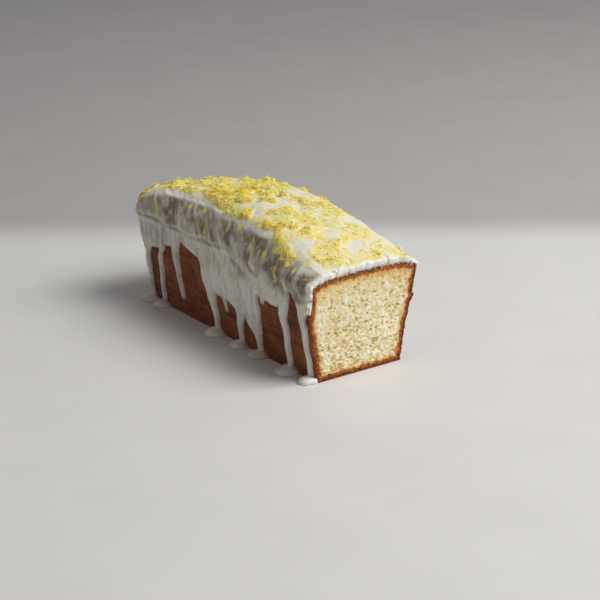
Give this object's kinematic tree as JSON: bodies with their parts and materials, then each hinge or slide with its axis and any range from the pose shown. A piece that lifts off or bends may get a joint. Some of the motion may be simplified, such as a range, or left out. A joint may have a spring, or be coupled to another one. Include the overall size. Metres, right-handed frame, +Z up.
{
  "type": "lemon drizzle loaf cake",
  "caption": "Cut loaf of pale lemon sponge with a browned crust, under white icing that runs down its sides in drips and is strewn with lemon zest.",
  "frame": {"origin": "centre of the bounding box in plan, at the height of the flat underside that the cake stands on", "axes": "+X along the loaf, out of the cut face; +Y across the loaf, towards the back; +Z up; the front, with the drips that the reference view shows, faces -Y"},
  "size_m": [0.2516, 0.1092, 0.1095],
  "materials": {
    "sponge": "baked lemon sponge: matt browned crust, open pale yellow crumb on the cut face",
    "icing": "set lemon icing, white and slightly translucent, with a soft gloss",
    "zest": "grated lemon zest, moist yellow shreds"
  },
  "bodies": {
    "root": {"sponge": "sponge", "icing": "icing"}
  },
  "joints": []
}
